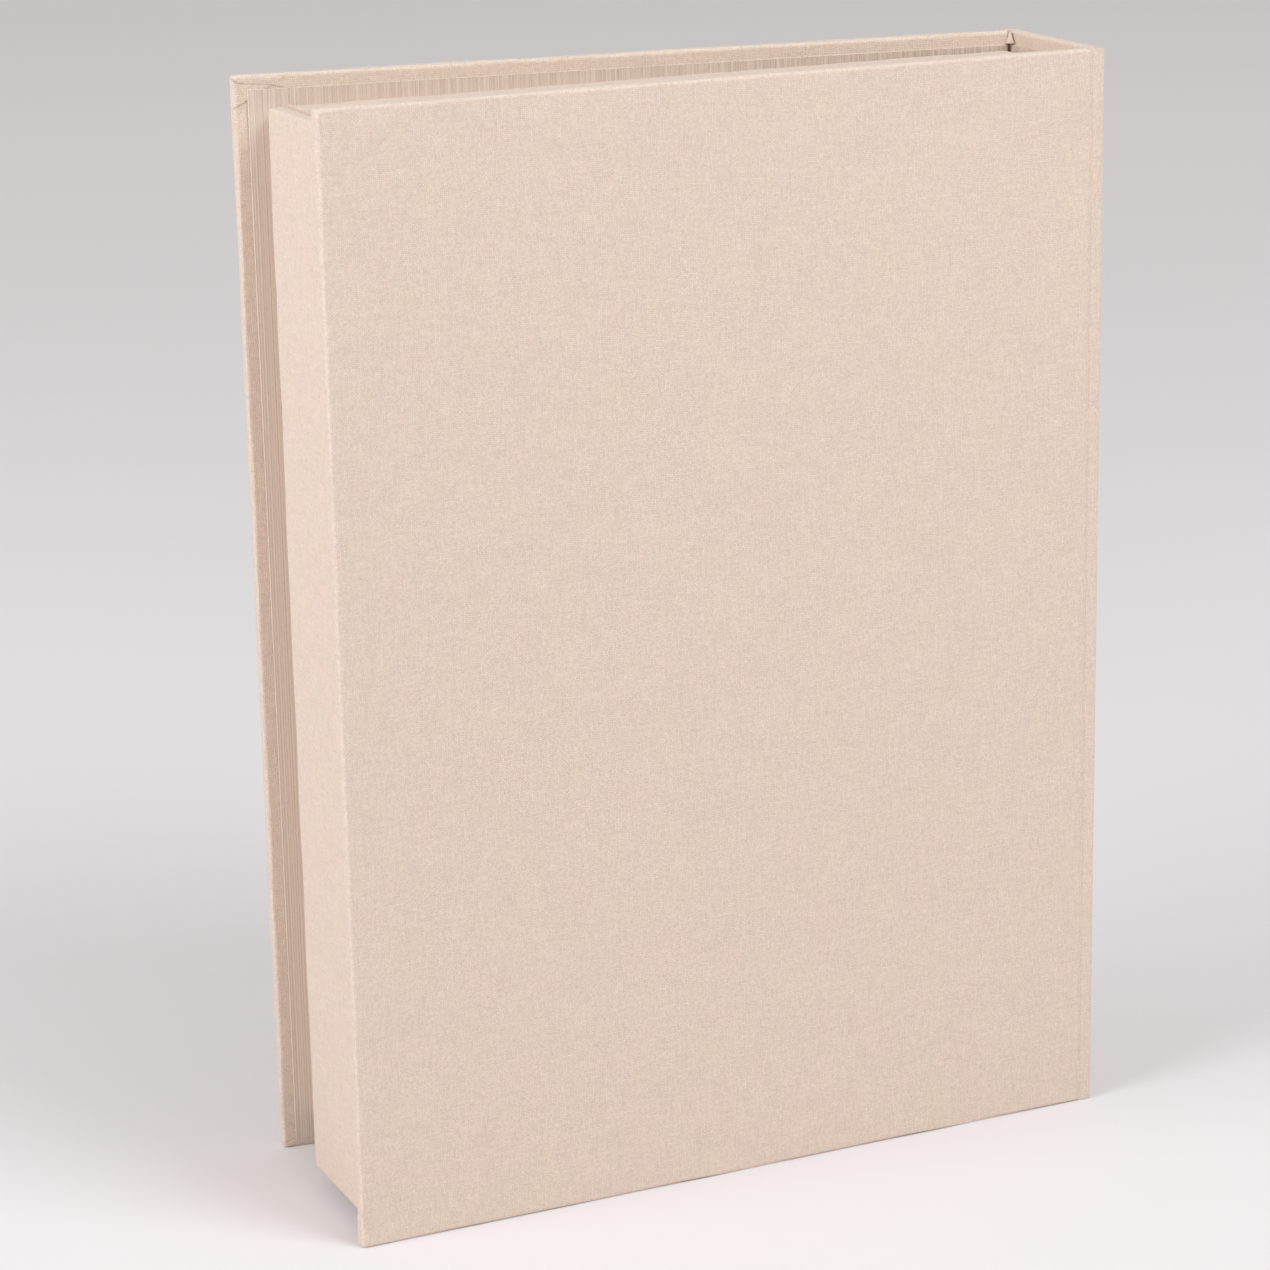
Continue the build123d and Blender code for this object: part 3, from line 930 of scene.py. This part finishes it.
# The floor is its near shade this far out, and turns to the far, painted-light shade over the next
# stretch.
near_reach, painted_light_stretch, mottle_strength = 0.4, 2.0, 0.1
room_colour, room_strength = (1.0, 0.975, 0.955, 1), 0.55
radius = np.linspace(0, floor_reach, 13)[:, None]
angle = np.linspace(0, 2 * math.pi, 65)[None, :]
points = np.stack([radius * np.cos(angle), radius * np.sin(angle), 0 * radius * angle], axis=-1)
material, tree, shader = start_material("pale_floor", 0.9, 0.0)
place = node(tree, "ShaderNodeTexCoord", {}, out=3)
away = node(tree, "ShaderNodeVectorMath", {"operation": "LENGTH"}, place, out=1)
mottle = node(tree, "ShaderNodeTexNoise", {}, place, Scale=3.0, Detail=2.0)
amount = (away - near_reach) / painted_light_stretch + mottle * mottle_strength
mixed = mix(tree, amount, floor_shade, floor_far_painted_light)
tree.links.new(mixed.socket, shader.inputs["Base Color"])
floor = add_mesh("floor", points, points[..., :2], material)

world = bpy.data.worlds.new("pale_room")
world.use_nodes = True
background = world.node_tree.nodes["Background"]
background.inputs["Color"].default_value = room_colour
background.inputs["Strength"].default_value = room_strength
bpy.context.scene.world = world
bpy.context.scene.view_settings.view_transform = "Standard"

lamps = {
    "left_light": ((-1.7, -0.25, 1.15), 1.2, 21.0, (0.98, 0.99, 1.0)),
    "right_light": ((0.75, -1.35, 1.5), 1.2, 20.0, (0.93, 0.985, 1.0)),
}
aim = Vector((0, 0, cad_box[1].z / 2))
for name, (spot, width, power, colour) in lamps.items():
    lamp = bpy.data.lights.new(name, "AREA")
    lamp.shape, lamp.size, lamp.energy, lamp.color = "DISK", width, power, colour
    holder = bpy.data.objects.new(name, lamp)
    holder.location = spot
    holder.rotation_euler = (aim - Vector(spot)).to_track_quat("-Z", "Y").to_euler()
    bpy.context.scene.collection.objects.link(holder)

# The camera stands a metre off, above the box and to the left of its front.
image_width = 1270
eye = (-0.474658, -1.008162, 0.471108)
heading, tilt, roll = 0.42795, 0.27156, -0.02001
focal_pixels = 3768.5
sensor_width = 36.0
view = bpy.data.cameras.new("camera")
view.sensor_width = sensor_width
view.lens = focal_pixels / image_width * sensor_width
view.clip_start, view.clip_end = 0.05, 30
camera = bpy.data.objects.new("camera", view)
camera.matrix_world = (
    Matrix.Translation(eye)
    @ Matrix.Rotation(-heading, 4, "Z")
    @ Matrix.Rotation(math.pi / 2 - tilt, 4, "X")
    @ Matrix.Rotation(roll, 4, "Z")
)
bpy.context.scene.collection.objects.link(camera)
bpy.context.scene.camera = camera
